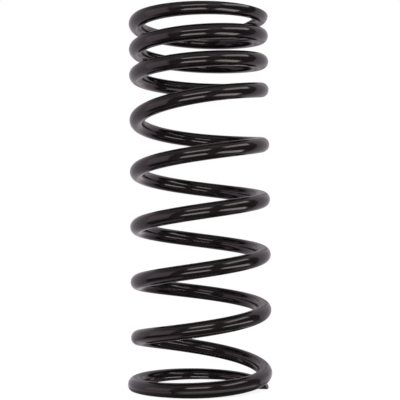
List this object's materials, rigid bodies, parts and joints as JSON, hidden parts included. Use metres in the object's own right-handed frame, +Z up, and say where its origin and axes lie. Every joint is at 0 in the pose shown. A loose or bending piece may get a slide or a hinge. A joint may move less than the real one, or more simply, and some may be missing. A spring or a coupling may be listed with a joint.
{
  "type": "suspension spring",
  "caption": "Coil spring of round steel wire with wide lower turns, close upper turns and flat ground ends, in a black gloss coat.",
  "frame": {"origin": "on the coil's axis, in the plane of the ground foot face that it stands on", "axes": "+Z up the coil's axis from the foot to the crown; the foot tip lies near +X, and the wire climbs from +X towards +Y"},
  "size_m": [0.1349, 0.132, 0.35],
  "materials": {
    "gloss_coat": "gloss black powder coat on steel wire"
  },
  "bodies": {
    "root": {"coil_spring": "gloss_coat"}
  },
  "joints": []
}
